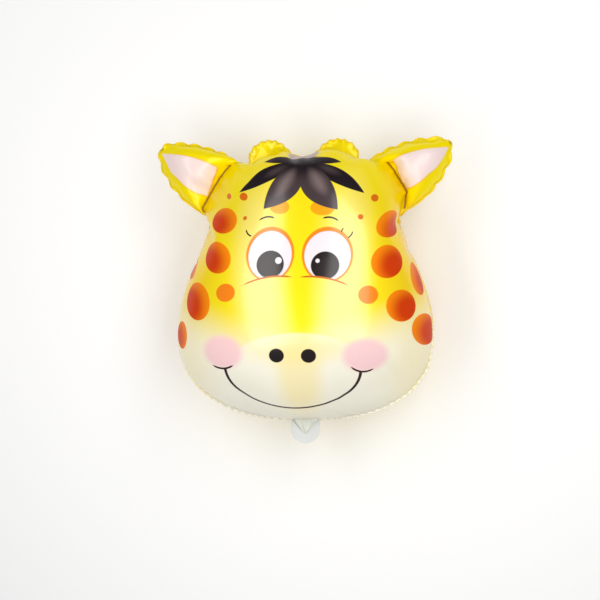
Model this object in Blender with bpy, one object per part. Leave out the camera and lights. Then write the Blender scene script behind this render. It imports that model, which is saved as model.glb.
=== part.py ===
"""Giraffe-head foil balloon, blown up and lying on its back with the face up.

X runs across the face, Y from the filling tab to the horns, and Z from the back to the face.
The origin is on the surface that the balloon lies on, under the middle of its outline.
The envelope is two sheets of film that are heat-sealed round the outline and across the roots of
the ears and horns. It is sealed, so it is one solid. The filling tab is a separate film strip.
"""

import math

import bmesh
import bpy
import numpy as np
from mathutils import Vector
from mathutils.geometry import delaunay_2d_cdt

# Envelope as it stands blown up, in metres
FACE_WIDTH = 0.474  # over the cheeks
FACE_HEIGHT = 0.488  # chin seam to the seam between the horns
DEPTH = 0.294  # nose to the back of the head
REST_SAG = 0.0025  # how far the back is pressed flat where it lies
SEAM_WIDTH = 0.005  # the flat heat seal outside the inflated part
SEAM_THICKNESS = 0.0012  # both films of the seal, made thick enough to be a solid
INNER_SEAL_GAP = 0.014  # gap in an ear's inner seal that lets the gas through

# Puckers of the film along the seam
PUCKER_PITCH = 0.028
PUCKER_HEIGHT = 0.0022  # how far the scalloped edge swings each way
FOLD_SHARE = 0.16  # how much flatter a fold is than the film beside it
PUCKER_REACH = 0.009  # how far the folds run into the sheets

# Filling tab and the neck that holds it
TAB_WIDTH = 0.054
TAB_LENGTH = 0.043  # from the chin seam down
TAB_THICKNESS = 0.0012
TAB_TUCK = 0.010  # how far the tab reaches up into the neck, past the chin seam
TAB_CLEARANCE = 0.0003
TAB_END_THICKNESS = 0.0018  # where its two films are sealed together, below the neck
TAB_END_GAP = 0.0005  # from the neck's point to the thicker end
NECK_LENGTH = 0.026  # from the chin seam to the point of the neck's wedge
NECK_WIDTH = 0.050  # across the top of the wedge
NECK_FILM = 0.0012  # thickness of the neck over each face of the tab, at its point
NECK_RISE = 0.004  # how much thicker the wedge is on each face at its root

# Mesh
EDGE_STEP = 0.0070  # spacing of points along the seam
ROW_DEPTHS = (0.0028, 0.0085)  # rows of points that follow the seam inside
GRID_STEP = 0.0165  # spacing of points over the middle
POINTS_PER_SPAN = 8  # points between two control points of an outline

# Outline of the right half: x in halves of FACE_WIDTH, y in FACE_HEIGHT above the chin seam
CHIN = (0.0, 0.0)
CHEEK_OUTLINE = (
    (0.24, 0.004),
    (0.42, 0.015),
    (0.60, 0.040),
    (0.79, 0.092),
    (0.90, 0.147),
    (0.967, 0.205),
    (0.998, 0.303),
    (0.985, 0.392),
    (0.945, 0.455),
    (0.905, 0.525),
    (0.835, 0.605),
    (0.775, 0.667),
    (0.754, 0.722),
    (0.756, 0.766),
)
EAR_OUTLINE = (
    (0.776, 0.776),
    (0.860, 0.801),
    (0.957, 0.838),
    (1.043, 0.883),
    (1.111, 0.936),
    (1.152, 0.985),
    (1.153, 1.026),
    (1.105, 1.050),
    (1.000, 1.054),
    (0.840, 1.043),
    (0.700, 1.021),
    (0.574, 0.996),
    (0.492, 0.974),
    (0.457, 0.966),
)
HORN_OUTLINE = (
    (0.440, 0.976),
    (0.436, 1.005),
    (0.404, 1.035),
    (0.348, 1.056),
    (0.282, 1.064),
    (0.216, 1.058),
    (0.160, 1.037),
    (0.113, 1.013),
    (0.062, 1.003),
)
BROW = (0.0, 1.0)
EAR_SEAL_BOW_SHARE = 0.14  # how far the ear's inner seal bows outwards, in its own length
HORN_SEAL_BOW_SHARE = 0.06
SEAL_INSET_SHARE = 0.03  # how far an inner seal starts inside its notch, in its own length

FOIL_YELLOW = (0.95, 0.62, 0.02, 1.0)
FILM_WHITE = (0.86, 0.87, 0.85, 1.0)


def smooth_line(points, closed):
    """A centripetal Catmull-Rom curve through the points, as an array of points."""
    knots = np.array(points, float)
    if closed:
        knots = np.vstack([knots[-1:], knots, knots[:2]])
    else:
        knots = np.vstack([2 * knots[0] - knots[1], knots, 2 * knots[-1] - knots[-2]])
    line = []
    for a, b, c, d in zip(knots[:-3], knots[1:-2], knots[2:-1], knots[3:]):
        t = np.cumsum([0.0] + [math.sqrt(np.linalg.norm(q - p)) for p, q in ((a, b), (b, c), (c, d))])
        for step in range(POINTS_PER_SPAN):
            u = t[1] + (t[2] - t[1]) * step / POINTS_PER_SPAN
            ab, bc, cd = (
                p + (q - p) * (u - t[i]) / (t[i + 1] - t[i])
                for i, (p, q) in enumerate(((a, b), (b, c), (c, d)))
            )
            abc = ab + (bc - ab) * (u - t[0]) / (t[2] - t[0])
            bcd = bc + (cd - bc) * (u - t[1]) / (t[3] - t[1])
            line.append(abc + (bcd - abc) * (u - t[1]) / (t[2] - t[1]))
    if not closed:
        line.append(knots[-2])
    return np.array(line)


def even_points(line, step, closed):
    """The line again, with points a step apart."""
    path = np.vstack([line, line[:1]]) if closed else line
    run = np.concatenate([[0.0], np.cumsum(np.linalg.norm(np.diff(path, axis=0), axis=1))])
    count = max(4, round(run[-1] / step))
    stops = np.linspace(0.0, run[-1], count + 1)
    points = np.column_stack([np.interp(stops, run, path[:, k]) for k in (0, 1)])
    return points[:-1] if closed else points


def outward(line, closed=True):
    """Unit normals, which point out of a closed line that runs anticlockwise."""
    along = np.roll(line, -1, 0) - np.roll(line, 1, 0) if closed else np.gradient(line, axis=0)
    along /= np.linalg.norm(along, axis=1)[:, None]
    return np.column_stack([along[:, 1], -along[:, 0]])


def inside(points, loop):
    """True for each point that lies inside the closed loop."""
    found = np.zeros(len(points), bool)
    for (ax, ay), (bx, by) in zip(loop, np.roll(loop, -1, 0)):
        spans = (ay > points[:, 1]) != (by > points[:, 1])
        if spans.any():
            crossing = ax + (bx - ax) * (points[spans, 1] - ay) / (by - ay)
            found[spans] ^= points[spans, 0] < crossing
    return found


def distance(points, line, closed=True):
    """Distance from each point to the line."""
    path = np.vstack([line, line[:1]]) if closed else line
    nearest = np.full(len(points), np.inf)
    for a, b in zip(path[:-1], path[1:]):
        share = np.clip(((points - a) @ (b - a)) / ((b - a) @ (b - a)), 0.0, 1.0)
        nearest = np.minimum(nearest, np.linalg.norm(points - a - share[:, None] * (b - a), axis=1))
    return nearest


def in_metres(shares):
    return [(x * FACE_WIDTH / 2, y * FACE_HEIGHT) for x, y in shares]


def mirrored(points):
    return [(-x, y) for x, y in points]


def seam_line():
    """The outer seal's inner edge, without its puckers."""
    right = in_metres(CHEEK_OUTLINE + EAR_OUTLINE + HORN_OUTLINE)
    chin, brow = in_metres((CHIN, BROW))
    edge = smooth_line([chin] + right + [brow] + mirrored(right[::-1]), True)
    edge = even_points(edge, EDGE_STEP, True)
    return edge - outward(edge) * SEAM_WIDTH


def bowed(start, end, bulge):
    """An arc between two points that bows to the right of its run."""
    start, end = Vector(start), Vector(end)
    start, end = start.lerp(end, SEAL_INSET_SHARE), end.lerp(start, SEAL_INSET_SHARE)
    run = end - start
    side = Vector((run.y, -run.x)) * bulge
    middle = (start + end) / 2 + side
    return even_points(smooth_line([start, middle, end], False), EDGE_STEP, False)


def inner_seals():
    """The seals across the roots of the ears and horns, as open lines of points."""
    ear_low, ear_high = in_metres((EAR_OUTLINE[0], EAR_OUTLINE[-1]))
    horn_out, horn_in = in_metres((HORN_OUTLINE[0], HORN_OUTLINE[-2]))
    ear = bowed(ear_low, ear_high, EAR_SEAL_BOW_SHARE)
    horn = bowed(horn_out, horn_in, HORN_SEAL_BOW_SHARE)
    half = len(ear) // 2
    skip = max(1, round(INNER_SEAL_GAP / EDGE_STEP / 2))
    right = [ear[: half - skip + 1], ear[half + skip :], horn]
    return right + [line * (-1, 1) for line in right]


def pucker_wave(line):
    """A wave along the seam: 1 where the film puffs out and -1 in a fold."""
    count = round(len(line) * EDGE_STEP / PUCKER_PITCH)
    return np.cos(2 * math.pi * count * np.arange(len(line)) / len(line))


def spread(kept, points, gap):
    """Adds to kept those of the points that stay a gap away from all before them."""
    if kept:
        before = np.vstack(kept)
        apart = np.linalg.norm(points[:, None] - before[None], axis=2).min(1)
        points = points[apart > gap]
    kept.append(points)


def sheet_points(seam, seals):
    """Points over the inside of the seam: rows along it and along the seals, then a grid."""
    kept = []
    for depth in ROW_DEPTHS:
        rows = [seam - outward(seam) * depth]
        rows += [s + outward(s, False) * depth * side for s in seals for side in (-1, 1)]
        for row in rows:
            row = row[inside(row, seam)]
            row = row[distance(row, seam) > depth * 0.8]
            for seal in seals:
                row = row[distance(row, seal, False) > depth * 0.8]
            spread(kept, row, EDGE_STEP * 0.6)
    reach = np.abs(seam).max(0) + GRID_STEP
    columns = np.arange(-math.ceil(reach[0] / GRID_STEP), math.ceil(reach[0] / GRID_STEP) + 1)
    levels = np.arange(math.floor(seam[:, 1].min() / GRID_STEP), math.ceil(reach[1] / GRID_STEP))
    grid = np.array([(x * GRID_STEP, y * GRID_STEP) for y in levels for x in columns])
    grid = grid[inside(grid, seam)]
    grid = grid[distance(grid, seam) > ROW_DEPTHS[-1] * 1.4]
    for seal in seals:
        grid = grid[distance(grid, seal, False) > ROW_DEPTHS[-1] * 1.3]
    spread(kept, grid, GRID_STEP * 0.6)
    return np.vstack(kept)


def triangulate(edge, seam, seals):
    """A flat sheet: points, triangles and, for each point, whether it lies in a seal."""
    loops = [edge, seam] + seals
    starts = np.cumsum([0] + [len(loop) for loop in loops])
    edges = []
    for number, (start, loop) in enumerate(zip(starts, loops)):
        count = len(loop)
        last = count if number < 2 else count - 1
        edges += [(start + i, start + (i + 1) % count) for i in range(last)]
    points = np.vstack(loops + [sheet_points(seam, seals)])
    found = delaunay_2d_cdt([Vector(p) for p in points], [tuple(map(int, e)) for e in edges], [], 0, 1e-7)
    sheet = np.array([tuple(p) for p in found[0]])
    sealed = np.array([any(n < starts[-1] for n in origin) for origin in found[3]])
    triangles = np.array([t for t in found[2] if len(t) == 3])
    triangles = triangles[inside(sheet[triangles].mean(1), edge)]
    a, b, c = (sheet[triangles[:, k]] for k in range(3))
    turn = (b - a)[:, 0] * (c - a)[:, 1] - (b - a)[:, 1] * (c - a)[:, 0]
    triangles[turn < 0] = triangles[turn < 0][:, ::-1]
    return sheet, triangles, sealed


def pillow(sheet, triangles, sealed):
    """How full the envelope is at each point: a soap film's height over the seals, 1 at its top."""
    count = len(sheet)
    matrix = np.zeros((count, count))
    load = np.zeros(count)
    for k in range(3):
        i, j, opposite = triangles[:, k], triangles[:, (k + 1) % 3], triangles[:, (k + 2) % 3]
        u, v = sheet[i] - sheet[opposite], sheet[j] - sheet[opposite]
        area = np.abs(u[:, 0] * v[:, 1] - u[:, 1] * v[:, 0])
        weight = (u * v).sum(1) / area / 2
        for a, b in ((i, j), (j, i)):
            np.add.at(matrix, (a, b), -weight)
            np.add.at(matrix, (a, a), weight)
        np.add.at(load, i, area / 6)
    free = ~sealed
    height = np.zeros(count)
    height[free] = np.linalg.solve(matrix[np.ix_(free, free)], load[free])
    return height / height.max()


def closed_pillow(sheet, triangles, heights):
    """Two facing sheets, at plus and minus each point's height, joined along their open edge."""
    mesh = bmesh.new()
    points = [mesh.verts.new((x, y, z)) for (x, y), z in zip(sheet, heights)]
    front = [mesh.faces.new([points[i] for i in triangle]) for triangle in triangles]
    copied = bmesh.ops.duplicate(mesh, geom=points + [e for e in mesh.edges] + front)["geom"]
    back = [part for part in copied if isinstance(part, bmesh.types.BMVert)]
    bmesh.ops.scale(mesh, verts=back, vec=(1, 1, -1))
    bmesh.ops.reverse_faces(mesh, faces=[part for part in copied if isinstance(part, bmesh.types.BMFace)])
    bmesh.ops.bridge_loops(mesh, edges=[e for e in mesh.edges if e.is_boundary])
    bmesh.ops.recalc_face_normals(mesh, faces=mesh.faces)
    return mesh


def press_flat(mesh, level):
    """Cuts off what lies below a level and closes the cut with one flat face."""
    everything = list(mesh.verts) + list(mesh.edges) + list(mesh.faces)
    bmesh.ops.bisect_plane(
        mesh, geom=everything, dist=1e-6, plane_co=(0, 0, level), plane_no=(0, 0, -1), clear_outer=True
    )
    bmesh.ops.holes_fill(mesh, edges=[e for e in mesh.edges if e.is_boundary], sides=0)
    bmesh.ops.recalc_face_normals(mesh, faces=mesh.faces)


def add_object(name, mesh, collection, material=None):
    data = bpy.data.meshes.new(name)
    mesh.to_mesh(data)
    mesh.free()
    made = bpy.data.objects.new(name, data)
    collection.objects.link(made)
    if material:
        data.materials.append(material)
    return made


def plain_material(name, colour, metallic, roughness):
    material = bpy.data.materials.new(name)
    material.use_nodes = True
    shader = material.node_tree.nodes["Principled BSDF"]
    shader.inputs["Base Color"].default_value = colour
    shader.inputs["Metallic"].default_value = metallic
    shader.inputs["Roughness"].default_value = roughness
    return material


def apply_boolean(made, other, operation):
    """Cuts or joins a mesh object with another, and keeps the result as its mesh."""
    step = made.modifiers.new(operation.lower(), "BOOLEAN")
    step.operation = operation
    step.object = other
    step.solver = "EXACT"
    bpy.context.view_layer.update()
    evaluated = made.evaluated_get(bpy.context.evaluated_depsgraph_get())
    result = bpy.data.meshes.new_from_object(evaluated)
    made.modifiers.remove(step)
    made.data = result


def tab_outline(grow):
    """The tab's outline: straight sides, a half-round end, and a tongue tucked into the neck."""
    half = TAB_WIDTH / 2
    low = -TAB_LENGTH
    centre = low + half
    arc = [
        (half * math.cos(a), centre + half * math.sin(a))
        for a in np.linspace(0, -math.pi, 25)
    ]
    shoulder = (half, -SEAM_WIDTH / 2)
    tongue = NECK_WIDTH / 4
    right = [(tongue, TAB_TUCK), (tongue, SEAM_WIDTH / 2), shoulder]
    outline = np.array(right + arc + mirrored(right[::-1]))[::-1]
    return outline + outward(outline) * grow


def plate(outline, thickness):
    """A flat plate of that outline, centred on z = 0."""
    mesh = bmesh.new()
    face = mesh.faces.new([mesh.verts.new((x, y, -thickness / 2)) for x, y in outline])
    grown = bmesh.ops.extrude_face_region(mesh, geom=[face])["geom"]
    top = [part for part in grown if isinstance(part, bmesh.types.BMVert)]
    bmesh.ops.translate(mesh, verts=top, vec=(0, 0, thickness))
    bmesh.ops.recalc_face_normals(mesh, faces=mesh.faces)
    return mesh


def thicken_end(mesh, level, rise):
    """Raises both faces of a plate below a level along Y."""
    everything = list(mesh.verts) + list(mesh.edges) + list(mesh.faces)
    bmesh.ops.bisect_plane(mesh, geom=everything, dist=1e-6, plane_co=(0, level, 0), plane_no=(0, 1, 0))
    for side in (-1, 1):
        ends = [f for f in mesh.faces if f.normal.z * side > 0.9 and f.calc_center_median().y < level]
        grown = bmesh.ops.extrude_face_region(mesh, geom=ends)["geom"]
        raised = [part for part in grown if isinstance(part, bmesh.types.BMVert)]
        bmesh.ops.translate(mesh, verts=raised, vec=(0, 0, side * rise))
        bmesh.ops.delete(mesh, geom=ends, context="FACES_ONLY")
    bmesh.ops.recalc_face_normals(mesh, faces=mesh.faces)


def neck_wedge():
    """The neck: a wedge that is widest and thickest in the chin and runs to a blunt point."""
    tip = TAB_THICKNESS / 2 + TAB_CLEARANCE + NECK_FILM
    root = tip + NECK_RISE
    buried = TAB_TUCK + SEAM_WIDTH
    sections = (
        (buried, NECK_WIDTH / 2, root),
        (0.0, NECK_WIDTH / 2, root),
        (-NECK_LENGTH, NECK_WIDTH / 12, tip),
    )
    mesh = bmesh.new()
    rings = [
        [mesh.verts.new((sx * half, y, sz * rise)) for sx, sz in ((1, 0), (0, 1), (-1, 0), (0, -1))]
        for y, half, rise in sections
    ]
    for ring, following in zip(rings[:-1], rings[1:]):
        for k in range(4):
            mesh.faces.new([ring[k], ring[(k + 1) % 4], following[(k + 1) % 4], following[k]])
    mesh.faces.new(rings[0][::-1])
    mesh.faces.new(rings[-1])
    bmesh.ops.recalc_face_normals(mesh, faces=mesh.faces)
    return mesh


def build():
    for old in list(bpy.data.objects):
        bpy.data.objects.remove(old)
    parts = bpy.data.collections.new("giraffe_foil_balloon")
    cutters = bpy.data.collections.new("cutters")
    for collection in (parts, cutters):
        bpy.context.scene.collection.children.link(collection)

    seam = seam_line()
    seals = inner_seals()
    wave = pucker_wave(seam)
    seam = seam + outward(seam) * wave[:, None] * PUCKER_HEIGHT
    edge = seam + outward(seam) * SEAM_WIDTH
    sheet, triangles, sealed = triangulate(edge, seam, seals)
    fullness = pillow(sheet, triangles, sealed)

    nearest = np.linalg.norm(sheet[:, None] - seam[None], axis=2)
    fold = wave[nearest.argmin(1)] * np.exp(-((nearest.min(1) / PUCKER_REACH) ** 2))
    swell = DEPTH / 2 * np.sqrt(fullness) * (1 + FOLD_SHARE * fold)
    heights = np.hypot(swell, SEAM_THICKNESS / 2)

    envelope_mesh = closed_pillow(sheet, triangles, heights)
    back_level = -(DEPTH / 2 - REST_SAG)
    press_flat(envelope_mesh, back_level)
    foil = plain_material("printed_foil", FOIL_YELLOW, 0.6, 0.25)
    film = plain_material("clear_film", FILM_WHITE, 0.0, 0.35)
    envelope = add_object("foil_envelope", envelope_mesh, parts, foil)

    neck = add_object("neck_wedge", neck_wedge(), cutters)
    apply_boolean(envelope, neck, "UNION")
    slot = add_object(
        "tab_slot", plate(tab_outline(TAB_CLEARANCE), TAB_THICKNESS + 2 * TAB_CLEARANCE), cutters
    )
    apply_boolean(envelope, slot, "DIFFERENCE")
    tab_mesh = plate(tab_outline(0.0), TAB_THICKNESS)
    thicken_end(tab_mesh, -NECK_LENGTH - TAB_END_GAP, (TAB_END_THICKNESS - TAB_THICKNESS) / 2)
    tab = add_object("filling_tab", tab_mesh, parts, film)

    for cutter in (neck, slot):
        cutter.hide_render = True
        cutter.display_type = "WIRE"

    top = edge[:, 1].max()
    middle = (top - TAB_LENGTH) / 2
    for made in (envelope, tab):
        made.location = (0.0, -middle, -back_level)
        made.data.shade_smooth()
        made.data.set_sharp_from_angle(angle=math.radians(50))


build()
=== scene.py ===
"""Looks of a giraffe-head foil balloon that lies on its back with the face up."""

import math

import bmesh
import bpy
import numpy as np
from mathutils import Matrix, Vector
from mathutils.bvhtree import BVHTree
from mathutils.geometry import delaunay_2d_cdt


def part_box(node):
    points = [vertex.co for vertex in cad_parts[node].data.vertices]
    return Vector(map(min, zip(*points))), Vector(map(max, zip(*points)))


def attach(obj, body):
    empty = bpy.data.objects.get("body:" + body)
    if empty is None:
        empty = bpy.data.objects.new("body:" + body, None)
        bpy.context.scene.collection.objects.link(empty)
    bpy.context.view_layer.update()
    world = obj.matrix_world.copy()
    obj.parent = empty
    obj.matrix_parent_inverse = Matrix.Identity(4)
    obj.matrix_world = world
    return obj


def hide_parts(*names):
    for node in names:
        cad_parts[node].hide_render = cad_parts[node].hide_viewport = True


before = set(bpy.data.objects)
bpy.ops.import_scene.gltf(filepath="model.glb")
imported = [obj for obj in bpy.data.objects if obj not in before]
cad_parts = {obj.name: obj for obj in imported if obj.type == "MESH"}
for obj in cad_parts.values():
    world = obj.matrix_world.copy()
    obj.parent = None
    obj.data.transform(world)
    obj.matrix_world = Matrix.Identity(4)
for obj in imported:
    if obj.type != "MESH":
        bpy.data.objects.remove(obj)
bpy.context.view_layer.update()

# Cut sheets
# The balloon is two sheets of metallised film, cut to one outline and laid face to face. Each row
# has a point of the outline's right half on the flat film, then where it is once the balloon is
# blown up, in millimetres: across from the face's middle, and up from the nose or from the chin.
HEAD_OUTLINE = [
    (0, -320, 0, 0), (62, -313, 57, 2), (116, -298, 100, 7), (166, -280, 142, 20), (220, -248, 187, 45),
    (258, -214, 213, 72), (282, -178, 229, 100), (303, -119, 237, 148), (307, -64, 233, 191),
    (303, -27, 224, 222), (294, 16, 214, 256), (279, 62, 198, 295), (264, 96, 184, 325),
    (252, 124, 179, 352), (243, 148, 179, 374),
]
EAR_OUTLINE = [
    (246, 156, 184, 379), (261, 172, 204, 391), (283, 190, 227, 409), (304, 213, 247, 431),
    (320, 243, 263, 457), (328, 271, 273, 481), (327, 295, 273, 503), (316, 317, 262, 515),
    (287, 331, 237, 518), (239, 326, 199, 513), (198, 312, 166, 503), (160, 295, 136, 490),
    (141, 285, 117, 475), (134, 282, 108, 471),
]
HORN_OUTLINE = [
    (132, 287, 104, 476), (134, 301, 103, 490), (128, 319, 96, 505), (111, 332, 82, 515),
    (87, 338, 67, 519), (61, 334, 50, 517), (41, 322, 35, 508), (28, 312, 24, 496),
    (14, 308, 13, 490), (0, 307, 0, 488),
]
SEAL_WIDTH = 3.4
ROOT_SEAL_WIDTH = 2.8
ROOT_SEAL_BOW = 0.06  # its height over its length
ROOT_SEAL_GAP = 6.0  # how far short of the seam it stops
ROOT_SEAL_POINTS = 41
RIM_STEP = 3.0
POINTS_PER_SPAN = 10
POINTS_AT_ONCE = 400  # measured together, to save memory


def smooth_loop(points):
    """A closed centripetal Catmull-Rom curve through the points."""
    line = []
    for i in range(len(points)):
        a, b, c, d = (points[(i + k) % len(points)] for k in (-1, 0, 1, 2))
        t1 = math.sqrt(np.linalg.norm(b - a))
        t2 = t1 + math.sqrt(np.linalg.norm(c - b))
        t3 = t2 + math.sqrt(np.linalg.norm(d - c))
        for t in np.linspace(t1, t2, POINTS_PER_SPAN, endpoint=False):
            ab = a + (b - a) * t / t1
            bc = b + (c - b) * (t - t1) / (t2 - t1)
            cd = c + (d - c) * (t - t2) / (t3 - t2)
            abc = ab + (bc - ab) * t / t2
            bcd = bc + (cd - bc) * (t - t1) / (t3 - t1)
            line.append(abc + (bcd - abc) * (t - t1) / (t2 - t1))
    return np.array(line)


def even_points(line, step, closed):
    """The line again, with its points a step apart along its first two columns."""
    path = np.vstack([line, line[:1]]) if closed else line
    run = np.concatenate([[0.0], np.cumsum(np.linalg.norm(np.diff(path[:, :2], axis=0), axis=1))])
    stops = np.linspace(0.0, run[-1], max(3, round(run[-1] / step)) + 1)
    points = np.column_stack([np.interp(stops, run, column) for column in path.T])
    return points[:-1] if closed else points


def outward(line, closed=True):
    """Unit normals to the right of the line's run: out of a loop that runs anticlockwise."""
    along = np.roll(line, -1, 0) - np.roll(line, 1, 0) if closed else np.gradient(line, axis=0)
    along /= np.linalg.norm(along, axis=1)[:, None]
    return np.column_stack([along[:, 1], -along[:, 0]])


def inside(points, loop):
    """True for each point that lies inside the closed loop."""
    found = np.zeros(len(points), bool)
    for (ax, ay), (bx, by) in zip(loop, np.roll(loop, -1, 0)):
        spans = np.flatnonzero((ay > points[:, 1]) != (by > points[:, 1]))
        crossing = ax + (bx - ax) * (points[spans, 1] - ay) / (by - ay) if len(spans) else 0.0
        found[spans[points[spans, 0] < crossing]] ^= True
    return found


def distance(points, line, closed):
    """Distance from each point to the line."""
    path = np.vstack([line, line[:1]]) if closed else line
    nearest = np.full(len(points), np.inf)
    for a, b in zip(path[:-1], path[1:]):
        share = np.clip(((points - a) @ (b - a)) / ((b - a) @ (b - a)), 0.0, 1.0)
        nearest = np.minimum(nearest, np.linalg.norm(points - a - share[:, None] * (b - a), axis=1))
    return nearest


def root_seal(start, end):
    """The seal across the root of an ear, as an arc of points that bows towards the ear's tip."""
    start, end = np.array(start, float), np.array(end, float)
    run = end - start
    share = np.linspace(0.0, 1.0, ROOT_SEAL_POINTS)[:, None]
    return start + run * share + np.array([run[1], -run[0]]) * ROOT_SEAL_BOW * 4 * share * (1 - share)


half_rim = np.array(HEAD_OUTLINE + EAR_OUTLINE + HORN_OUTLINE, float)
whole_rim = np.vstack([half_rim, half_rim[-2:0:-1] * (-1, 1, -1, 1)])
rim = even_points(smooth_loop(whole_rim), RIM_STEP, True)
seam_line = rim - np.hstack([outward(rim[:, :2]), outward(rim[:, 2:])]) * SEAL_WIDTH
root_seals = [root_seal(EAR_OUTLINE[0][:2], EAR_OUTLINE[-1][:2])]
root_seals += [seal * (-1, 1) for seal in root_seals]
FILM, ROOT, SEAM = range(3)  # free film, a root's seal, and the seal round the outline


def meshed_sheet(step, rows, grids):
    """One flat sheet in triangles: its points, its triangles, and each point's kind.

    Rows give a depth below the seals and a spacing, grids a spacing and the level they start at.
    """
    seam = even_points(seam_line, step, True)[:, :2]
    out = outward(seam) * SEAL_WIDTH
    kept = [seam + out, seam + out / 2, seam]
    kinds = [SEAM, SEAM, SEAM]
    closed = [True, True, True]
    for seal in root_seals:
        seal = even_points(seal, step, False)
        for side in (-1, 1):
            edge = seal + outward(seal, False) * side * ROOT_SEAL_WIDTH / 2
            kept.append(edge[inside(edge, seam) & (distance(edge, seam, True) > ROOT_SEAL_GAP)])
            kinds.append(ROOT)
            closed.append(False)
    edges = []
    start = 0
    for line, ring in zip(kept, closed):
        last = len(line) if ring else len(line) - 1
        edges += [(start + i, start + (i + 1) % len(line)) for i in range(last)]
        start += len(line)

    def keep(points, gap):
        placed = np.vstack(kept)
        for block in np.array_split(points, math.ceil(len(points) / POINTS_AT_ONCE)):
            apart = np.linalg.norm(block[:, None] - placed, axis=2).min(1)
            kept.append(block[apart > gap])

    for depth, spacing in rows:
        row = even_points(seam_line, spacing, True)[:, :2]
        row = row - outward(row) * depth
        row = row[inside(row, seam)]
        keep(row[distance(row, seam, True) > depth * 0.8], spacing * 0.7)
        for seal in root_seals:
            row = even_points(seal, spacing, False)
            for side in (-1, 1):
                beside = row + outward(row, False) * side * (depth + ROOT_SEAL_WIDTH / 2)
                beside = beside[inside(beside, seam)]
                keep(beside[distance(beside, seam, True) > spacing * 0.7], spacing * 0.7)
    reach = np.abs(seam[:, 0]).max(), np.abs(seam[:, 1]).max()
    for spacing, lowest in grids:
        columns = np.arange(-math.ceil(reach[0] / spacing), math.ceil(reach[0] / spacing) + 1)
        levels = np.arange(math.ceil(lowest / spacing), math.ceil(reach[1] / spacing))
        grid = np.stack(np.meshgrid(columns, levels), -1).reshape(-1, 2) * spacing
        grid = grid[inside(grid, seam)]
        keep(grid[distance(grid, seam, True) > rows[-1][0] + spacing * 0.3], spacing * 0.7)
    given = np.vstack(kept)
    found = delaunay_2d_cdt([Vector(point) for point in given], edges, [], 0, 1e-5)
    points = np.array([tuple(point) for point in found[0]])
    owner = np.concatenate([[kind] * len(line) for kind, line in zip(kinds, kept)])
    kind = [max([int(owner[i]) for i in origin if i < len(owner)] + [FILM]) for origin in found[3]]
    triangles = np.array([corners for corners in found[2] if len(corners) == 3])
    triangles = triangles[inside(points[triangles].mean(1), kept[0])]
    a, b, c = (points[triangles[:, k]] for k in range(3))
    turn = (b - a)[:, 0] * (c - a)[:, 1] - (b - a)[:, 1] * (c - a)[:, 0]
    triangles[turn < 0] = triangles[turn < 0][:, ::-1]
    return points, triangles, np.array(kind)


# Foil balloon, blown up
# Gas presses the two sheets apart. The film hardly stretches, so the seam draws in and the film
# beside it gathers in folds. It is settled coarsely first, then again with its folds started.
PRESSURE = 0.00012  # against the film's own stiffness of 1
STEP_GAIN = 0.11
STEP_DRAG = 0.02
SEAM_LEVEL = 0.02  # how strongly a seal is kept in the seam's plane


def two_sheets(points, triangles, kind):
    """Both sheets as one mesh that shares the points of the seals."""
    free = np.flatnonzero(kind == FILM)
    twin = np.arange(len(points))
    twin[free] = len(points) + np.arange(len(free))
    sealed = (kind[triangles] != FILM).all(1)
    faces = np.vstack([triangles, twin[triangles[~sealed]][:, ::-1]])
    pressed = np.concatenate([~sealed, np.ones((~sealed).sum(), bool)])
    flat = np.vstack([points, points[free]])
    side = np.concatenate([np.where(kind == FILM, 1.0, 0.0), -np.ones(len(free))])
    return flat, side, faces, pressed, twin


def slack_taken(flat, i, j):
    """Lengths of film from i to j, less the slack that the drawn-in seam leaves along itself."""
    nearest, gap = along_seam(flat)
    most = SLACK_TAKEN * (1 - shrink[nearest]) * np.exp(-gap / slack_reach[nearest])
    kept = 1 - (most[i] + most[j]) / 2
    run = flat[j] - flat[i]
    sideways = (run * seam_run[nearest[i]]).sum(1)
    return np.sqrt((run * run).sum(1) - sideways ** 2 * (1 - kept ** 2))


def springs(flat, faces):
    """The mesh's edges, then the pairs of corners that face each other across an edge."""
    edges = np.sort(np.vstack([faces[:, [0, 1]], faces[:, [1, 2]], faces[:, [2, 0]]]), axis=1)
    opposite = np.concatenate([faces[:, 2], faces[:, 0], faces[:, 1]])
    order = np.lexsort((edges[:, 1], edges[:, 0]))
    edges, opposite = edges[order], opposite[order]
    again = np.concatenate([[False], (edges[1:] == edges[:-1]).all(1)])
    across = np.flatnonzero(again)
    hinges = np.column_stack([opposite[across], opposite[across - 1]])
    edges = edges[~again]
    length = slack_taken(flat, *edges.T)
    width = slack_taken(flat, *hinges.T)
    kept = width > np.median(length) / 2
    return edges, length, hinges[kept], width[kept]


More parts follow.
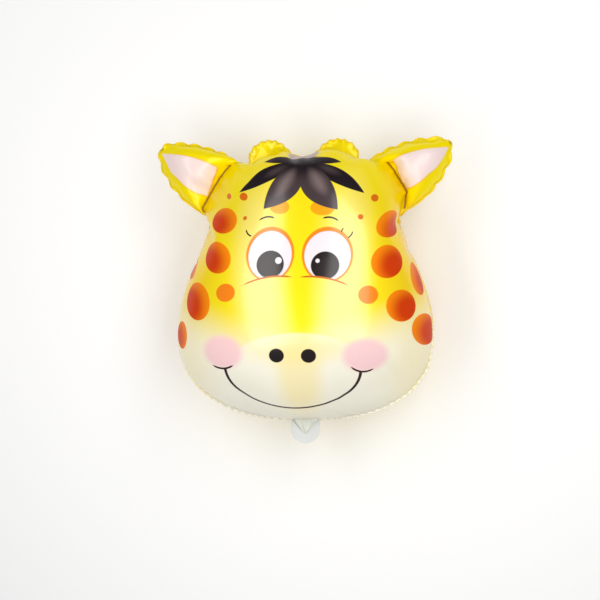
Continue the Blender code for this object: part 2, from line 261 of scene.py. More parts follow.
def settle(place, film, led, goal, steps, squeeze, bend):
    """Moves the film until tension and pressure balance, as its seam is led to a goal.

    The film resists being squeezed and bent less than it resists a pull, by those shares.
    """
    flat, side, faces, pressed, _ = film
    edges, length, hinges, width = springs(flat, faces)
    i, j = np.vstack([edges, hinges]).T
    rest = np.concatenate([length, width])
    pulled = np.concatenate([np.ones(len(edges)), np.full(len(hinges), bend)])
    pushed = np.concatenate([np.full(len(edges), squeeze), np.full(len(hinges), bend)])
    a, b, c = faces[pressed].T
    level = np.where(side == 0, SEAM_LEVEL, 0.0)
    speed = np.zeros_like(place)
    force = np.empty_like(place)
    origin = place[led]
    place = place.copy()
    for step in range(steps):
        place[led] = origin + (goal - origin) * min(1.0, 2 * (step + 1) / steps)
        span = place[j] - place[i]
        now = np.sqrt((span * span).sum(1)) + 1e-12
        stretch = now - rest
        tension = span * (np.where(stretch > 0, pulled, pushed) * stretch / now)[:, None]
        push = np.cross(place[b] - place[a], place[c] - place[a]) * (PRESSURE / 6)
        for k in range(3):
            force[:, k] = np.bincount(i, tension[:, k], len(flat))
            force[:, k] -= np.bincount(j, tension[:, k], len(flat))
            for corner in (a, b, c):
                force[:, k] += np.bincount(corner, push[:, k], len(flat))
        force[:, 2] -= level * place[:, 2]
        speed = (speed + force * STEP_GAIN) * (1 - STEP_DRAG)
        speed[led] = 0.0
        place += speed
    return place


def carried_over(flat, side, coarse_sheet, coarse_film, coarse_place):
    """Places the points of a fine mesh where the coarse mesh has the same spots of film."""
    points, triangles, _ = coarse_sheet
    twin = coarse_film[4]
    tree = BVHTree.FromPolygons([(x, y, 0.0) for x, y in points], triangles.tolist())
    place = np.empty((len(flat), 3))
    for k, (x, y) in enumerate(flat):
        corners = triangles[tree.find_nearest((x, y, 0.0))[2]]
        a, b, c = points[corners]
        share = np.linalg.solve(np.column_stack([b - a, c - a]), (x - a[0], y - a[1]))
        weights = np.array([1 - share.sum(), share[0], share[1]])
        corners = corners if side[k] >= 0 else twin[corners]
        place[k] = weights @ coarse_place[corners]
    return place


COARSE_STEP = 15.0
COARSE_ROWS = [(13.5, 15.0)]
COARSE_GRIDS = [(15.0, -400.0)]
FINE_STEP = 3.0
FINE_ROWS = [(3.0, 3.0), (6.5, 3.8), (11.5, 5.5)]
FINE_GRIDS = [(5.5, 250.0), (8.0, -400.0)]
SHEETS_APART = 24.0  # before the gas presses them
EAR_FOOT = 150.0  # up the flat sheet, where the seam passes from head to ear
HORN_FOOT = 284.0  # up it, where the seam passes from ear to horn
HORN_SIDE = 134.0  # across it, at the same place
SLACK_REACHES = 65.0, 42.0, 60.0  # how far slack reaches in from the seam: head, ear and horn
HEAD_PITCH, EAR_PITCH, HORN_PITCH = 17.0, 37.0, 21.0  # from fold to fold on the flat seam
PITCH_SPREAD = 0.2
SLACK_TAKEN = 1.0  # share of the slack that is taken out of the film at the seam
HEAD_SWING, EAR_SWING, HORN_SWING = 1.6, 2.8, 2.0  # the most that a fold stands out and in
FOLD_LEAN = 0.12  # how far the seam's rim leans up and down in its folds, in radians
FOLD_DEPTH = 0.6  # how fast a fold fades inwards, as a share of its pitch
FOLD_OUT, FOLD_UP = 0.8, 0.7  # shares of a fold's swing that go outwards and upwards
SEAM_SWAY = 0.6  # share of it by which the seam goes up and down
PUFF_MEAN = 1.2  # taken off a fold's round, so that its swing is to both sides


def along_seam(points):
    """For each point of the flat film, the nearest place along the seam and how far off it is."""
    nearest, gap = np.empty(len(points), int), np.empty(len(points))
    for block in np.array_split(np.arange(len(points)), math.ceil(len(points) / POINTS_AT_ONCE)):
        away = np.linalg.norm(points[block][:, None] - flat_seam, axis=2)
        nearest[block], gap[block] = away.argmin(1), away.min(1)
    return nearest, gap


def blurred(values, width):
    """A closed row of values, averaged along the row."""
    reach = np.arange(-3 * width, 3 * width + 1)
    weights = np.exp(-0.5 * (reach / width) ** 2)
    return sum(np.roll(values, k) * w for k, w in zip(reach, weights)) / weights.sum()


fine_seam = even_points(seam_line, FINE_STEP, True)
flat_seam, blown_seam = fine_seam[:, :2], fine_seam[:, 2:]
normal = outward(blown_seam)
shrink = blurred(np.linalg.norm(np.roll(blown_seam, -1, 0) - blown_seam, axis=1) / FINE_STEP, 4)

on_horn = (flat_seam[:, 1] > HORN_FOOT) & (np.abs(flat_seam[:, 0]) < HORN_SIDE)
on_ear = (flat_seam[:, 1] > EAR_FOOT) & (np.abs(flat_seam[:, 0]) >= HORN_SIDE)


def by_place(head, ear, horn):
    """A value for each point of the seam, blended from head to ear to horn."""
    return blurred(np.where(on_horn, horn, np.where(on_ear, ear, head)), 3)


seam_run = np.roll(flat_seam, -1, 0) - np.roll(flat_seam, 1, 0)
seam_run /= np.linalg.norm(seam_run, axis=1)[:, None]
slack_reach = by_place(*SLACK_REACHES)

coarse_sheet = meshed_sheet(COARSE_STEP, COARSE_ROWS, COARSE_GRIDS)
coarse_film = two_sheets(*coarse_sheet)
flat, side = coarse_film[:2]
led = np.flatnonzero(coarse_sheet[2] == SEAM)
k, gap = along_seam(flat[led])
goal = np.column_stack([blown_seam[k] + normal[k] * gap[:, None], np.zeros(len(led))])
start = np.column_stack([flat[:, 0], flat[:, 1] - flat_seam[0, 1], side * SHEETS_APART / 2])
coarse_place = settle(start, coarse_film, led, goal, steps=1000, squeeze=0.1, bend=0.05)

dice = np.random.default_rng(7)
uneven = blurred(dice.normal(0.0, 1.0, len(flat_seam)), 4)
uneven = PITCH_SPREAD * uneven / np.abs(uneven).max()
pitch = by_place(HEAD_PITCH, EAR_PITCH, HORN_PITCH) * (1 + uneven)
phase = np.cumsum(FINE_STEP / pitch)
phase *= round(phase[-1]) / phase[-1] * 2 * math.pi
swing = pitch * shrink / math.pi * np.sqrt(np.maximum(1 / shrink - 1, 0.0))
swing = np.minimum(swing, by_place(HEAD_SWING, EAR_SWING, HORN_SWING))
puff = (2 * np.abs(np.cos(phase / 2)) - PUFF_MEAN) * swing  # round outwards and sharp inwards
sway = np.sin(phase)

fine_sheet = meshed_sheet(FINE_STEP, FINE_ROWS, FINE_GRIDS)
fine_film = two_sheets(*fine_sheet)
flat, side, _, _, twin = fine_film
place = carried_over(flat, side, coarse_sheet, coarse_film, coarse_place)
k, gap = along_seam(flat)
shift = puff[k] * np.exp(-gap / (FOLD_DEPTH * pitch[k]))
place[:, :2] += normal[k] * (shift * FOLD_OUT)[:, None]
place[:, 2] += side * shift * FOLD_UP
led = np.flatnonzero(fine_sheet[2] == SEAM)
k, gap = k[led], gap[led]
lean = FOLD_LEAN * sway[k]
goal = np.column_stack([
    blown_seam[k] + normal[k] * (puff[k] * FOLD_OUT + gap * np.cos(lean))[:, None],
    sway[k] * swing[k] * SEAM_SWAY + gap * np.sin(lean),
])
place[led] = goal
place = settle(place, fine_film, led, goal, steps=500, squeeze=0.08, bend=0.05)

face_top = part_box("foil_envelope")[1].z * 1000
tab_low, tab_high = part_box("filling_tab")
CHIN_TUCK = 10.0  # how far the tab reaches up past the chin's rim
chin = tab_high.y * 1000 - CHIN_TUCK
seam_level = (tab_low.z + tab_high.z) * 500
place[:, 2] *= (face_top - seam_level) / place[:, 2].max()
place[:, 2] = np.maximum(place[:, 2], -seam_level)  # the back rests flat on the floor


def finished(name, mesh, materials):
    """Makes the bmesh, in millimetres from the chin, a piece of the object in its place."""
    bmesh.ops.translate(mesh, verts=mesh.verts, vec=(0.0, chin, seam_level))
    bmesh.ops.scale(mesh, verts=mesh.verts, vec=(0.001, 0.001, 0.001))
    data = bpy.data.meshes.new(name)
    mesh.to_mesh(data)
    mesh.free()
    for face in data.polygons:
        face.use_smooth = True
    for material in materials:
        data.materials.append(material)
    piece = bpy.data.objects.new(name, data)
    bpy.context.scene.collection.objects.link(piece)
    smooth = piece.modifiers.new("smooth", "SUBSURF")
    smooth.levels = smooth.render_levels = 1
    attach(piece, "root")
    return piece


class Wire:
    """An output of a shader node that can be used in expressions."""

    def __init__(self, tree, socket=None):
        self.tree = tree
        self.socket = socket

    def node(self, kind, settings, values, output=0):
        """Adds a node with its settings, then the values or links of its sockets in use."""
        made = self.tree.nodes.new(kind)
        for name, value in settings.items():
            setattr(made, name, value)
        used = [socket for socket in made.inputs if socket.enabled]
        for key, value in values.items():
            socket = used[key] if isinstance(key, int) else made.inputs[key]
            if isinstance(value, Wire):
                self.tree.links.new(value.socket, socket)
            else:
                socket.default_value = value
        return Wire(self.tree, [socket for socket in made.outputs if socket.enabled][output])

    def maths(self, operation, *values):
        """Adds a Math node on the values, numbers or links."""
        return self.node("ShaderNodeMath", {"operation": operation}, dict(enumerate(values)))

    def __add__(self, other):
        return self.maths("ADD", self, other)

    def __sub__(self, other):
        return self.maths("SUBTRACT", self, other)

    def __rsub__(self, other):
        return self.maths("SUBTRACT", other, self)

    def __mul__(self, other):
        return self.maths("MULTIPLY", self, other)

    def __truediv__(self, other):
        return self.maths("DIVIDE", self, other)

    def __rtruediv__(self, other):
        return self.maths("DIVIDE", other, self)

    def __pow__(self, other):
        return self.maths("POWER", self, other)

    def __abs__(self):
        return self.maths("ABSOLUTE", self)

    __radd__ = __add__
    __rmul__ = __mul__


def ink(red, green, blue):
    """A colour of 0 to 255 as the eye sees it, for a shader."""
    shares = (red / 255, green / 255, blue / 255)
    return (*[((c + 0.055) / 1.055) ** 2.4 if c > 0.04045 else c / 12.92 for c in shares], 1.0)


def rising(value, low, high):
    """0 below low and 1 above high, with a soft step between."""
    settings = {"interpolation_type": "SMOOTHSTEP"}
    return value.node("ShaderNodeMapRange", settings, {0: value, 1: low, 2: high, 3: 0.0, 4: 1.0})


def local(at, centre, turn, scale):
    """The film's coordinates seen from a centre, turned by degrees and scaled."""
    values = {0: at, 1: (*centre, 0.0), 2: (0.0, 0.0, math.radians(turn)), 3: (*scale, 1.0)}
    return at.node("ShaderNodeMapping", {"vector_type": "TEXTURE"}, values)


def parts(at):
    """The first two coordinates of a vector."""
    first = at.node("ShaderNodeSeparateXYZ", {}, {0: at})
    return first, Wire(at.tree, first.socket.node.outputs[1])


def oval(at, centre, radii, turn=0.0, soft=1.5):
    """1 inside an oval, with an edge that is soft over that many millimetres."""
    place = local(at, centre, turn, radii)
    depth = (1 - at.node("ShaderNodeVectorMath", {"operation": "LENGTH"}, {0: place})) * min(radii)
    return rising(depth, -soft / 2, soft / 2)


def bow(at, start, end, bulge, powers=(1, 1)):
    """How far a point is to the left of a line bowed by bulge, and the bow's height there."""
    run = np.subtract(end, start)
    place = local(at, start, math.degrees(math.atan2(run[1], run[0])), (np.linalg.norm(run), 1.0))
    along, left = parts(place)
    inner = at.node("ShaderNodeClamp", {}, {0: along})
    rise, fall = powers
    peak = rise / (rise + fall)
    height = inner ** rise * (1 - inner) ** fall / (peak ** rise * (1 - peak) ** fall)
    return left - height * bulge, height


def leaf(at, start, end, low, high, powers=(1, 1), soft=1.5):
    """1 between two bows from start to end, low and high at their middles."""
    above, height = bow(at, start, end, low, powers)
    return rising(above, 0.0, soft) * rising(height * (high - low) - above, 0.0, soft)


def stroke(at, start, end, bulge, width):
    """A bowed line of ink that thins at its ends."""
    above, height = bow(at, start, end, bulge)
    return rising(rising(height, 0.0, 0.6) * (width / 2 + 0.4) - abs(above), 0.0, 0.8)


def over(colour, layer, mask):
    """One colour printed over another where the mask is 1."""
    return mask.node("ShaderNodeMix", {"data_type": "RGBA"}, {0: mask, 1: colour, 2: layer})


YELLOW = ink(255, 231, 0)
HIGHLIGHT_YELLOW = ink(251, 235, 145)
DEEP_YELLOW = ink(255, 214, 0)
CREAM = ink(253, 249, 230)
WARM_CREAM = ink(255, 232, 130)
CHIN_SHADE = ink(238, 232, 210)
ORANGE = ink(254, 172, 0)
DEEP_ORANGE = ink(252, 134, 0)
SPECK_ORANGE = ink(228, 112, 0)
SPOT_ORANGE = ink(255, 142, 4)
SPOT_RED = ink(216, 62, 0)
EYE_WHITE = ink(240, 233, 237)
EYE_RING = ink(248, 140, 20)
LID_BROWN = ink(205, 110, 20)
PUPIL_BLACK = ink(26, 14, 14)
PUPIL_REFLECTION = ink(38, 26, 26)
BLUSH = ink(255, 208, 212)
LINE_BROWN = ink(50, 28, 26)
HAIR_BLACK = ink(30, 20, 26)
HAIR_GREY = ink(72, 58, 60)
HAIR_SHEEN = ink(160, 140, 136)
HAIR_HIGHLIGHT = ink(196, 172, 168)
EAR_PINK = ink(244, 222, 218)
EAR_BORDER = ink(245, 160, 60)
EAR_TIP = ink(120, 100, 20)
SEAM_YELLOW = ink(196, 158, 10)
ROOT_SEAL_SHADE = ink(150, 112, 0)
SEAM_MARK, ROOT_SEAL_MARK = 0.5, 1.0  # in the film's own attribute, with 0 for free film
KNURL = 5.0  # the seal's pattern, in radians to a millimetre
KNURL_DEPTH = 0.0003  # metres
FOIL_METAL, WHITE_METAL = 0.18, 0.05  # under clear and under white ink
DULLED = 0.6  # share of the gloss that dull inks take away
# each spot's red side is painted shade, set off its centre away from the face's middle
SPOT_LEAN = (0.45, 0.2)  # shares of its radii by which a spot's deep side is off its centre
# red spots: centre, radii and turn on the flat film
FACE_SPOTS = [
    ((-142, 117), (32, 25), -31), ((-150, 46), (35, 27), -37), ((-192, -33), (37, 31), -55),
    ((-241, -99), (28, 21), 80), ((-234, 40), (32, 20), -60),
    ((174, 106), (37, 23), 40), ((165, 33), (33, 29), 33), ((193, -46), (31, 29), 0),
    ((237, 7), (33, 21), 100), ((253, -92), (38, 31), -17),
]
# orange spots and specks: centre, radii, turn and colour
PALE_SPOTS = [
    ((-30, 130), (18, 13), -12, ORANGE), ((46, 126), (21, 14), -2, ORANGE),
    ((-126, -19), (19, 16), 0, DEEP_ORANGE), ((129, -27), (18, 16), 0, DEEP_ORANGE),
    ((-139, 168), (8, 5), -48, SPECK_ORANGE), ((-102, 158), (10, 7), -41, SPECK_ORANGE),
    ((-95, 115), (4, 4), 0, SPECK_ORANGE), ((139, 151), (8, 7), 54, SPECK_ORANGE),
    ((113, 111), (5, 5), 0, SPECK_ORANGE),
]


def either(one, other):
    """1 where one mask or the other is 1."""
    return 1 - (1 - one) * (1 - other)


def spotted(at, colour, spots):
    """Red spots that darken away from the face's middle as painted shade, and the mask of them all."""
    covered = 0.0
    for centre, radii, turn in spots:
        mask = oval(at, centre, radii, turn)
        lean = math.copysign(SPOT_LEAN[0], centre[0]) * radii[0]
        # painted shade: each spot's red deepens on its side away from the face's middle, where the film
        # turns from the light
        shaded_side = oval(at, (centre[0] + lean, centre[1] - SPOT_LEAN[1] * radii[1]), radii, turn, 30.0)
        colour = over(over(colour, SPOT_ORANGE, mask), SPOT_RED, mask * shaded_side)
        covered = mask + covered
    return colour, covered


def foil_film(name, print_layers):
    """Printed metallised film: glossy inks that let more of the metal through where they are clear."""
    material = bpy.data.materials.new(name)
    material.use_nodes = True
    shader = material.node_tree.nodes["Principled BSDF"]
    tree = Wire(material.node_tree)
    at = tree.node("ShaderNodeUVMap", {"uv_map": "flat_film"}, {})
    colour, white, dull = print_layers(at)
    sealed = tree.node("ShaderNodeAttribute", {"attribute_name": "sealed"}, {}, 2)
    on_seam = rising(sealed, 0.2, SEAM_MARK)
    colour = over(colour, SEAM_YELLOW, on_seam * (1 - white) * 0.4)
    # painted shade: a dark olive line along each ear's root seal, where the film creases
    colour = over(colour, ROOT_SEAL_SHADE, rising(sealed, 0.6, ROOT_SEAL_MARK))
    u, v = parts(at)
    knurl = u.maths("SINE", u * KNURL) * v.maths("SINE", v * KNURL) * on_seam
    bump = tree.node("ShaderNodeBump", {}, {"Strength": 0.25, "Distance": KNURL_DEPTH, "Height": knurl})
    for socket, value in (
        ("Base Color", colour), ("Metallic", FOIL_METAL - white * (FOIL_METAL - WHITE_METAL)),
        ("Coat Weight", 1 - dull * DULLED), ("Normal", bump),
    ):
        if isinstance(value, Wire):
            material.node_tree.links.new(value.socket, shader.inputs[socket])
        else:
            shader.inputs[socket].default_value = value
    shader.inputs["Roughness"].default_value = 0.38
    shader.inputs["Specular IOR Level"].default_value = 0.0
    shader.inputs["Coat Roughness"].default_value = 0.16
    shader.inputs["Coat IOR"].default_value = 1.55
    return material


# where the skin's colours come on or go: across from the face's middle, up, or down
DEEP_SIDES, DEEP_FOOT, DEEP_HEAD = (110.0, 230.0), (-120.0, 0.0), (140.0, 220.0)
MUZZLE_FADE = (82.0, 200.0)
WARM_SIDES = (130.0, 240.0)
CHIN_SHADE_FADE = (215.0, 320.0)
DULL_HEAD = (110.0, 200.0)
# the skin's soft ovals: centre and radii, then the turn of the pale ones, which are painted highlight
# bands beside the nose
HIGHLIGHT_OVALS = [((-62, 5), (42, 165), 4), ((84, 5), (42, 165), -4)]
MUZZLE = ((0, -192), (155, 99))
WARM_OVALS = [((4, -106), (95, 42)), ((4, -165), (38, 105))]
BLUSHES = [((-137, -126), (39, 31)), ((126, -137), (42, 32))]


def skin_print(at, u, v):
    """Yellow skin that fades to a white muzzle and chin, greyed at the bottom by painted shade, and the
    mask of what is white.
    """
    cheeks = rising(abs(u), *DEEP_SIDES) * rising(v, *DEEP_FOOT) * (1 - rising(v, *DEEP_HEAD))
    colour = over(YELLOW, DEEP_YELLOW, cheeks)
    # painted highlight: pale bands either side of the nose, where the softboxes show in the foil
    for centre, radii, turn in HIGHLIGHT_OVALS:
        colour = over(colour, HIGHLIGHT_YELLOW, oval(at, centre, radii, turn, 50.0) * 0.65)
    white = either(oval(at, *MUZZLE, soft=7.0) * 0.9, rising(abs(u) * 0.35 - v, *MUZZLE_FADE))
    colour = over(colour, CREAM, white)
    for centre, radii in WARM_OVALS:
        colour = over(colour, WARM_CREAM, oval(at, centre, radii, soft=40.0) * white * 0.5)
    colour = over(colour, WARM_CREAM, rising(abs(u), *WARM_SIDES) * white * 0.35)
    # painted shade: the chin greys towards its bottom, where less light reaches from below
    colour = over(colour, CHIN_SHADE, rising(-1 * v, *CHIN_SHADE_FADE))
    for centre, radii in BLUSHES:
        blush = oval(at, centre, radii, soft=16.0)
        colour = over(colour, BLUSH, blush * 0.9)
        white = either(white, blush)
    return colour, white


# centre and radii of an eyeball, centre of its pupil, centre and radius of the pupil's shine, and
# the line of the lower lid
EYES = [
    ((-44, 44), (39, 43), (-43, 28), (-28, 34), 5.8, ((-97, -9), (2, 4), 8)),
    ((57, 41), (40, 43), (53, 24), (40, 32), 3.6, ((5, 4), (98, -13), 7)),
]
PUPIL_RADII = (24.5, 24)
PUPIL_REFLECTION_RADII = (19, 18)
LID_WIDTH = 3.2


def eyes_print(at, colour, white):
    """Two eyes, ringed in orange above their lower lids."""
    for (x, y), (across, up), (pupil_x, pupil_y), shine, size, lid in EYES:
        above = rising(bow(at, *lid)[0], -0.8, 0.8)
        ring = oval(at, (x, y + 2), (across + 4.5, up + 5.5), soft=2.5)
        colour = over(colour, EYE_RING, ring * above)
        ball = oval(at, (x, y), (across, up)) * above
        colour = over(colour, EYE_WHITE, ball)
        white = either(white, ball)
        pupil = oval(at, (pupil_x, pupil_y), PUPIL_RADII)
        colour = over(colour, PUPIL_BLACK, pupil * above)
        # painted reflection: a lighter grey low in each pupil, where the softboxes show
        reflected = oval(at, (pupil_x + 2, pupil_y - 4), PUPIL_REFLECTION_RADII, soft=14.0)
        colour = over(colour, PUPIL_REFLECTION, reflected * above)
        colour = over(colour, EYE_WHITE, oval(at, shine, (size, size)))
        colour = over(colour, LID_BROWN, stroke(at, *lid, LID_WIDTH))
    return colour, white


# brows, lashes and the ends of the smile: start, end, bulge and width
FACE_STROKES = [
    ((-68, 107), (-36, 109), 5, 3.2), ((45, 106), (76, 101), 5, 3.2), ((-91, 94), (-78, 79), -3, 2.8),
    ((80, 81), (84, 90), 1, 2.4), ((90, 71), (100, 85), -2, 2.6),
    ((-164, -151), (-115, -149), -8, 4.0), ((96, -156), (145, -163), -10, 4.0),
]
NOSTRILS = [(-34, -132), (23, -134)]
NOSTRIL_RADII = (13.5, 13)
SMILE_CENTRE, SMILE_RADII, SMILE_TURN = (-9, -163), (126, 84), -3
SMILE_WEIGHT = 2.3  # half its width, in hundredths of its radii


def features_print(at, colour):
    """Brows, lashes, nostrils, and a smile along the lower half of an oval."""
    for line in FACE_STROKES:
        colour = over(colour, LINE_BROWN, stroke(at, *line))
    for centre in NOSTRILS:
        colour = over(colour, PUPIL_BLACK, oval(at, centre, NOSTRIL_RADII))
    smile = local(at, SMILE_CENTRE, SMILE_TURN, SMILE_RADII)
    reach = at.node("ShaderNodeVectorMath", {"operation": "LENGTH"}, {0: smile})
    below = rising(parts(smile)[1] * -1, 0.0, 0.02)
    line = rising(SMILE_WEIGHT - abs(reach - 1) * 100, -0.4, 0.4)
    return over(colour, LINE_BROWN, line * below)


HAIR_MIDDLE = 7
HAIR_CROWN = ((7, 228), (34, 15))
HAIR_ROOTS = ((7, 222), (62, 34))
HAIR_HIGHLIGHT_OVAL = ((5, 262), (32, 36))
# crown, side and front lock of a side: its start, and how far its lower and upper edges bow
LOCKS = [((7, 228), -9, 11), ((7, 220), -13, 18), ((7, 222), -34, 19)]
LOCK_TIPS = [(-1, [(-70, 225), (-114, 168), (-60, 128)]), (1, [(79, 218), (120, 157), (73, 122)])]
# sheens: start and end, measured across from the hair's middle, and half a width
SHEENS = [((7, 214), (51, 138), 20), ((15, 218), (81, 184), 12)]


def hair_print(at, colour):
    """A tuft of pointed locks: black at the roots and the sides, grey with a sheen in front, with a pale
    painted highlight at its top.
    """
    # painted highlight: a pale pink-grey patch at the top of the hair, where light catches the film by
    # the seam
    colour = over(colour, HAIR_HIGHLIGHT, oval(at, *HAIR_HIGHLIGHT_OVAL, soft=8.0))
    roots = oval(at, *HAIR_ROOTS, soft=40.0)
    for side, tips in LOCK_TIPS:
        for (start, low, high), tip in zip(LOCKS, tips):
            low, high = (low, high) if side > 0 else (-high, -low)
            lock = leaf(at, start, tip, low, high)
            dark = lock if tip == tips[1] else lock * roots
            colour = over(over(colour, HAIR_GREY, lock), HAIR_BLACK, dark)
        for (start, top), (end, bottom), width in SHEENS:
            start, end = HAIR_MIDDLE + side * start, HAIR_MIDDLE + side * end
            sheen = leaf(at, (start, top), (end, bottom), -width, width, soft=24.0)
            colour = over(colour, HAIR_SHEEN, sheen * 0.6)
    return over(colour, HAIR_BLACK, oval(at, *HAIR_CROWN, soft=8.0))


EAR_LEAF_BASE, EAR_LEAF_TIP = (173, 210), (320, 291)
EAR_LEAF_POWERS = (0.4, 0.8)  # widest a third of the way out
EAR_LEAF_CUT, EAR_LEAF_LEVEL, EAR_LEAF_SLOPE = 223.0, 196.0, 0.45  # across, up, and its slope
EAR_TIP_OVAL = ((325, 304), (5, 8))


def ears_print(at, u, v, colour, white):
    """A pink leaf in each ear, cut off beside the root's seal, with an orange border."""
    for side in (-1, 1):
        base, tip, end = ((side * x, y) for x, y in (EAR_LEAF_BASE, EAR_LEAF_TIP, EAR_TIP_OVAL[0]))
        out = u * side + (v - EAR_LEAF_LEVEL) * EAR_LEAF_SLOPE
        border = leaf(at, base, tip, -37, 40, EAR_LEAF_POWERS, 9.0)
        border = border * rising(out, EAR_LEAF_CUT - 7, EAR_LEAF_CUT)
        inner = leaf(at, base, tip, -32, 35, EAR_LEAF_POWERS, 3.0)
        inner = inner * rising(out, EAR_LEAF_CUT, EAR_LEAF_CUT + 3)
        colour = over(over(colour, EAR_BORDER, border * 0.7), EAR_PINK, inner)
        colour = over(colour, EAR_TIP, oval(at, end, EAR_TIP_OVAL[1], soft=4.0) * 0.7)
        white = either(white, inner)
    return colour, white


def face_print(at):
    """The giraffe's face on the front sheet: its colour, and where it is white or less glossy."""
    u, v = parts(at)
    colour, white = skin_print(at, u, v)
    colour, spots = spotted(at, colour, FACE_SPOTS)
    for centre, radii, turn, spot_colour in PALE_SPOTS:
        colour = over(colour, spot_colour, oval(at, centre, radii, turn))
    colour, white = eyes_print(at, colour, white)
    colour = hair_print(at, features_print(at, colour))
    colour, white = ears_print(at, u, v, colour, white)
    return colour, white, either(spots, rising(v, *DULL_HEAD))


BACK_SPOTS = [
    ((-95, 120), (38, 30), 20), ((60, 150), (32, 26), -30), ((130, 60), (40, 31), 40),
    ((-160, 10), (36, 29), 70), ((-20, 20), (42, 34), 0), ((90, -80), (40, 32), -20),
    ((-110, -120), (37, 30), 30), ((190, -60), (34, 26), 60), ((10, -190), (38, 29), 10),
    ((-215, -90), (30, 24), 80), ((170, 180), (22, 17), 0), ((-175, 165), (22, 17), 0),
]


def back_print(at):
    """The back sheet is plainer: yellow, with some of the same spots."""
    colour = over(YELLOW, DEEP_YELLOW, rising(abs(parts(at)[0]), *DEEP_SIDES))
    colour, spots = spotted(at, colour, BACK_SPOTS)
    return colour, 0.0, spots


FILM_GAP = 0.06  # half the thickness of the two sealed films
HORN_SMOOTHING, EAR_SMOOTHING = 16, 8  # passes that ease the creases of the small lobes
EASED_DEPTH = 60.0  # from the seam of an ear or a horn inwards
points, triangles, kind = fine_sheet
foil = bmesh.new()
lift = np.where(kind == FILM, 0.0, FILM_GAP)[:, None] * (0.0, 0.0, 1.0)
for sheet in (place[:len(points)] + lift, place[twin] - lift):
    for point in sheet:
        foil.verts.new(point)
foil.verts.ensure_lookup_table()
for triangle in triangles:
    foil.faces.new([foil.verts[k] for k in triangle])
for triangle in triangles + len(points):
    foil.faces.new([foil.verts[k] for k in triangle[::-1]]).material_index = 1
rims = [edge for edge in foil.edges if edge.is_boundary]
bmesh.ops.bridge_loops(foil, edges=rims)
bmesh.ops.join_triangles(
    foil, faces=foil.faces, angle_face_threshold=math.radians(40), angle_shape_threshold=math.radians(70)
)
bmesh.ops.recalc_face_normals(foil, faces=foil.faces)
nearest, gap = along_seam(points)
for passes, on_lobe in ((HORN_SMOOTHING, on_horn), (EAR_SMOOTHING, on_ear)):
    eased = np.tile((kind == FILM) & on_lobe[nearest] & (gap < EASED_DEPTH), 2)
    loose = [vert for vert, chosen in zip(foil.verts, eased) if chosen]
    for _ in range(passes):
        bmesh.ops.smooth_vert(
            foil, verts=loose, factor=0.5, use_axis_x=True, use_axis_y=True, use_axis_z=True
        )
flat_film = foil.loops.layers.uv.new("flat_film")
foil.verts.index_update()
both = np.vstack([points, points])
for face in foil.faces:
    for corner in face.loops:
        corner[flat_film].uv = both[corner.vert.index]
sealed = foil.verts.layers.float.new("sealed")
for vert, of_kind in zip(foil.verts, np.tile(kind, 2)):
    vert[sealed] = {FILM: 0.0, ROOT: ROOT_SEAL_MARK, SEAM: SEAM_MARK}[of_kind]
prints = [foil_film("front_print", face_print), foil_film("back_print", back_print)]
balloon = finished("foil_balloon", foil, prints)
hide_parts("foil_envelope")

# Filling neck
# Below the chin the two sheets run on as a short neck, gathered to a point over the filling tab.
# It isn't printed and holds no gas, so it is slack, with folds that run together at its point.
NECK_WIDTH = 50.0
NECK_LENGTH = 25.0
NECK_TUCK = 0.25  # share of its length that is hidden behind the chin
NECK_POINT = 0.12  # width at the point, as a share
NECK_RISE = 3.6
NECK_EDGE_RISE = 0.5
NECK_FOLDS, NECK_FOLD_RISE = 3, 0.3
NECK_RINGS, NECK_RING_POINTS = 18, 72


def plain(name, colour, metallic, roughness):
    """A material of one colour all over."""
    material = bpy.data.materials.new(name)
    material.use_nodes = True
    shader = material.node_tree.nodes["Principled BSDF"]
    shader.inputs["Base Color"].default_value = (*colour, 1.0)
    shader.inputs["Metallic"].default_value = metallic
    shader.inputs["Roughness"].default_value = roughness
    return material


neck = bmesh.new()
rings = []
for down in np.linspace(-NECK_TUCK, 1.0, NECK_RINGS):
    slack = 1 - max(down, 0.0)
    half = NECK_WIDTH / 2 * (NECK_POINT + (1 - NECK_POINT) * slack)
    ring = []
    for turn in np.linspace(0.0, 2 * math.pi, NECK_RING_POINTS, endpoint=False):
        across = math.cos(turn)
        bulge = abs(math.sin(turn)) ** 1.4
        fold = NECK_FOLD_RISE * math.cos(math.pi * NECK_FOLDS * across + 1.0) * bulge
        rise = NECK_EDGE_RISE + (NECK_RISE * (0.25 + 0.75 * slack) - NECK_EDGE_RISE) * bulge + fold
        rise = math.copysign(rise, math.sin(turn))
        ring.append(neck.verts.new((across * half, -down * NECK_LENGTH, rise)))
    rings.append(ring)
loops = [[neck.edges.new((a, b)) for a, b in zip(ring, ring[1:] + ring[:1])] for ring in rings]
for upper, lower in zip(loops[:-1], loops[1:]):
    bmesh.ops.bridge_loops(neck, edges=upper + lower)
bmesh.ops.holes_fill(neck, edges=loops[0] + loops[-1])
bmesh.ops.recalc_face_normals(neck, faces=neck.faces)
neck_film = plain("neck", (0.62, 0.63, 0.54), 0.2, 0.35)
finished("filling_neck", neck, [neck_film])

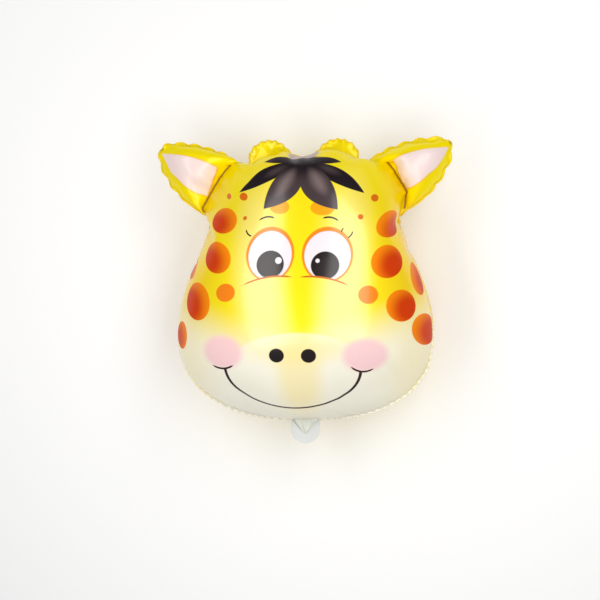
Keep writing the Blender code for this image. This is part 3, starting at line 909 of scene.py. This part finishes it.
# Filling tab
# A strip of clear film with a milky look, two layers sealed round a flat channel, through which
# the balloon is blown up. It is sealed into the neck and hangs out below the chin.
TAB_WIDTH = 54.0
TAB_LENGTH = 43.0
TAB_THICKNESS = 0.7
TAB_CORNER = math.radians(86)  # a little short of a right angle, so that its end isn't pinched
TAB_WAVE = 0.35
tab = bmesh.new()
bmesh.ops.create_grid(tab, x_segments=28, y_segments=32, size=1.0)
for vert in tab.verts:
    across, down = vert.co.x, (1 - vert.co.y) / 2
    straight = TAB_LENGTH - TAB_WIDTH / 2
    run = down * (straight + TAB_WIDTH / 2 * TAB_CORNER)
    turn = max(run - straight, 0.0) / (TAB_WIDTH / 2)
    y = -min(run, straight) - TAB_WIDTH / 2 * math.sin(turn)
    x = across * TAB_WIDTH / 2 * math.cos(turn)
    vert.co = (x, y, TAB_WAVE * math.sin(x / 9 + 0.6) * math.sin(-y / 14))
sheet = list(tab.faces)
raised = bmesh.ops.extrude_face_region(tab, geom=sheet)["geom"]
raised = [part for part in raised if isinstance(part, bmesh.types.BMVert)]
bmesh.ops.translate(tab, verts=raised, vec=(0.0, 0.0, TAB_THICKNESS))
bmesh.ops.translate(tab, verts=tab.verts, vec=(0.0, 0.0, -TAB_THICKNESS / 2))
bmesh.ops.recalc_face_normals(tab, faces=tab.faces)
milky_film = plain("tab", (0.68, 0.69, 0.67), 0.0, 0.35)
filling_tab = finished("valve_tab", tab, [milky_film])
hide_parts("filling_tab")

# Floor
# A white paper sweep that the balloon lies on, seen from above. It glows faintly, as bright paper
# does that is lit from all round. It isn't part of the object.
FLOOR_SIZE = 12.0
FLOOR_GLOW = 0.17
floor_mesh = bpy.data.meshes.new("floor")
ground = bmesh.new()
bmesh.ops.create_grid(ground, x_segments=1, y_segments=1, size=FLOOR_SIZE / 2)
ground.to_mesh(floor_mesh)
ground.free()
sweep = plain("floor", (0.86, 0.86, 0.86), 0.0, 0.9)
sweep_shader = sweep.node_tree.nodes["Principled BSDF"]
sweep_shader.inputs["Emission Color"].default_value = (1.0, 1.0, 1.0, 1.0)
sweep_shader.inputs["Emission Strength"].default_value = FLOOR_GLOW
floor_mesh.materials.append(sweep)
floor = bpy.data.objects.new("floor", floor_mesh)
bpy.context.scene.collection.objects.link(floor)

# Lights and camera
# Two tall softboxes stand left and right of the camera, with a darker gap between them that shows
# as a deeper band down the face. The camera is a long lens that looks down, a little from +X.
AIM = Vector((-0.0085, -0.0167, 0.1445))
CAMERA_TURN = 8.0
CAMERA_ROLL = -0.4
CAMERA_DISTANCE = 2.6
PICTURE_WIDTH = 1.11  # metres across the picture at the seam's level
SOFTBOX_LENGTH = 2.4
SOFTBOX_HEIGHT = 1.44
SOFTBOX_MIDDLE = 0.25  # along Y
SOFTBOX_GLOW = 3.0  # watts from a square metre for each steradian
SOFTBOXES = [("left", -0.29, -0.86, 13), ("right", 0.235, 0.98, -13)]  # near edge, far edge, splay
ROOM_GLOW = 0.26
for name, near, far, splay in SOFTBOXES:
    light = bpy.data.lights.new(f"softbox_{name}", "AREA")
    light.shape = "RECTANGLE"
    light.size, light.size_y = abs(far - near), SOFTBOX_LENGTH
    light.energy = math.pi * SOFTBOX_GLOW * light.size * light.size_y
    softbox = bpy.data.objects.new(light.name, light)
    splay = math.radians(splay)
    middle = (near + far) / 2 - SOFTBOX_MIDDLE * math.tan(splay)
    softbox.location = (middle, SOFTBOX_MIDDLE, SOFTBOX_HEIGHT)
    softbox.rotation_euler = (0.0, 0.0, splay)
    bpy.context.scene.collection.objects.link(softbox)
world = bpy.data.worlds.new("room")
bpy.context.scene.world = world
world.use_nodes = True
room_light = world.node_tree.nodes["Background"]
room_light.inputs["Color"].default_value = (1.0, 1.0, 1.0, 1.0)
room_light.inputs["Strength"].default_value = ROOM_GLOW

turn = math.radians(CAMERA_TURN)
behind = Vector((math.sin(turn), 0.0, math.cos(turn)))
across = Vector((math.cos(turn), 0.0, -math.sin(turn)))
lens = bpy.data.cameras.new("camera")
lens.sensor_width = 36.0
lens.lens = lens.sensor_width * CAMERA_DISTANCE / PICTURE_WIDTH
camera = bpy.data.objects.new("camera", lens)
camera.location = AIM + behind * CAMERA_DISTANCE
facing = Matrix((across, (0.0, 1.0, 0.0), behind)).transposed()
camera.rotation_euler = (facing @ Matrix.Rotation(math.radians(CAMERA_ROLL), 3, "Z")).to_euler()
bpy.context.scene.collection.objects.link(camera)
bpy.context.scene.camera = camera
bpy.context.scene.view_settings.view_transform = "Standard"
